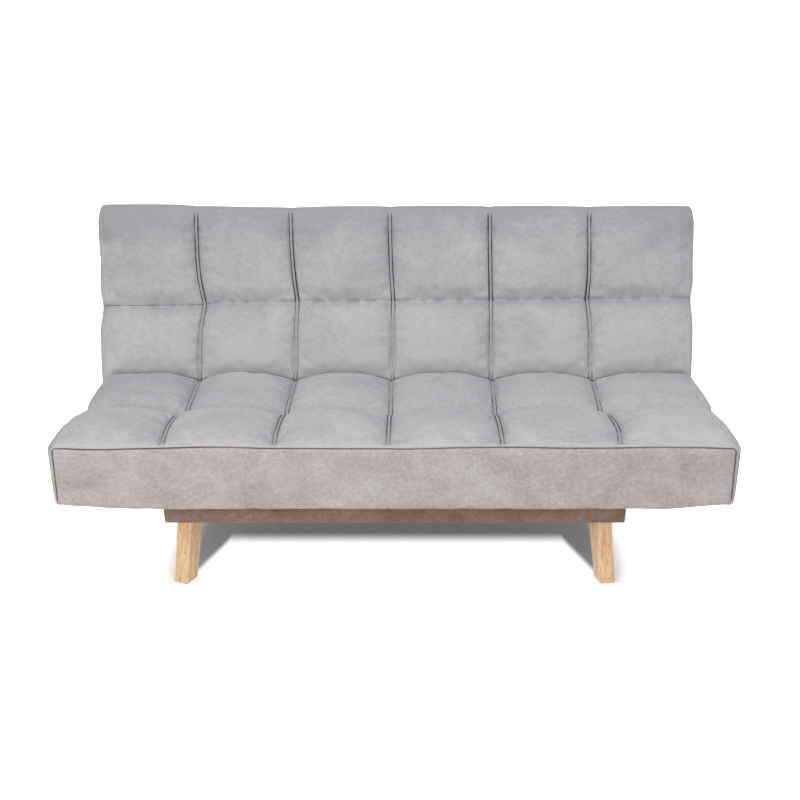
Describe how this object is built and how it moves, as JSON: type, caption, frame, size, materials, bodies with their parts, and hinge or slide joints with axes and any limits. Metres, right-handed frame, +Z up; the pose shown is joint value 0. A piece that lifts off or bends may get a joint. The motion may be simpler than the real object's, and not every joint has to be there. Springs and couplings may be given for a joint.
{
  "type": "sofa bed",
  "caption": "Armless tufted futon sofa bed: seat and reclining backrest cushions on a wrapped base box with splayed timber legs.",
  "frame": {"origin": "on the floor, under the centre of the sofa's bounding box in the sofa position", "axes": "+X along the sofa to the viewer's right, -Y towards the front, +Z up"},
  "size_m": [1.732, 0.8294, 0.8967],
  "materials": {
    "suede": "brushed microfibre suede, warm pale grey",
    "oak": "clear satin lacquer on pale oak",
    "beech": "plain sprung laminated beech",
    "pine": "sawn pine, unfinished",
    "foam": "cut polyurethane foam",
    "felt": "needled recycled felt",
    "dust_cloth": "black spun-bonded cloth",
    "rubber": "matt rubber",
    "nylon": "matt moulded nylon",
    "black_plastic": "moulded plastic",
    "twine": "waxed tufting twine",
    "black_steel": "black powder coat, satin",
    "zinc_steel": "bright zinc plate"
  },
  "bodies": {
    "base": {"base_front_rail": "pine", "base_rear_rail": "pine", "base_left_rail": "pine", "base_right_rail": "pine", "base_cross_rails": "pine", "base_corner_blocks": "pine", "base_wrap": "suede", "base_dust_cover": "dust_cloth", "base_bumpers": "rubber", "front_left_leg": "oak", "front_right_leg": "oak", "rear_left_leg": "oak", "rear_right_leg": "oak", "leg_plates": "black_steel", "leg_hanger_bolts": "zinc_steel", "leg_plate_screws": "zinc_steel", "leg_glides": "nylon", "left_base_bracket": "black_steel", "right_base_bracket": "black_steel", "base_bracket_bolts": "zinc_steel", "left_pivot_pin": "zinc_steel", "right_pivot_pin": "zinc_steel", "pivot_clips": "zinc_steel", "pivot_washers": "zinc_steel"},
    "seat": {"seat_front_rail": "pine", "seat_rear_rails": "pine", "seat_left_rail": "pine", "seat_right_rail": "pine", "seat_cross_rails": "pine", "seat_slats": "beech", "seat_slat_holders": "black_plastic", "seat_felt_pad": "felt", "seat_foam": "foam", "seat_top_cover": "suede", "seat_front_panel": "suede", "seat_welt": "suede", "seat_dust_cover": "dust_cloth", "seat_tuft_ties": "twine", "left_seat_arm": "black_steel", "right_seat_arm": "black_steel", "seat_arm_bolts": "zinc_steel", "pawl_pins": "zinc_steel", "pawl_springs": "zinc_steel"},
    "back": {"back_top_rail": "pine", "back_bottom_rails": "pine", "back_left_rail": "pine", "back_right_rail": "pine", "back_struts": "pine", "back_slats": "beech", "back_slat_holders": "black_plastic", "back_felt_pad": "felt", "back_foam": "foam", "back_front_cover": "suede", "back_rear_cover": "suede", "back_tuft_ties": "twine", "left_back_arm": "black_steel", "right_back_arm": "black_steel", "back_arm_bolts": "zinc_steel"},
    "left_pawl": {"left_pawl": "black_steel"},
    "right_pawl": {"right_pawl": "black_steel"}
  },
  "joints": [
    {"name": "seat_lift", "type": "hinge", "parent": "base", "child": "seat", "pos_m": [0, 0.17026, 0.345], "axis": [-1, 0, 0], "range_deg": [0, 12]},
    {"name": "back_recline", "type": "hinge", "parent": "base", "child": "back", "pos_m": [0, 0.17026, 0.345], "axis": [-1, 0, 0], "range_deg": [0, 71.6]},
    {"name": "left_pawl_lift", "type": "hinge", "parent": "seat", "child": "left_pawl", "pos_m": [-0.619, 0.08626, 0.349], "axis": [1, 0, 0], "range_deg": [0, 12], "stiffness_Nm_per_rad": 0.02, "springref_deg": -17.19},
    {"name": "right_pawl_lift", "type": "hinge", "parent": "seat", "child": "right_pawl", "pos_m": [0.619, 0.08626, 0.349], "axis": [1, 0, 0], "range_deg": [0, 12], "stiffness_Nm_per_rad": 0.02, "springref_deg": -17.19}
  ]
}
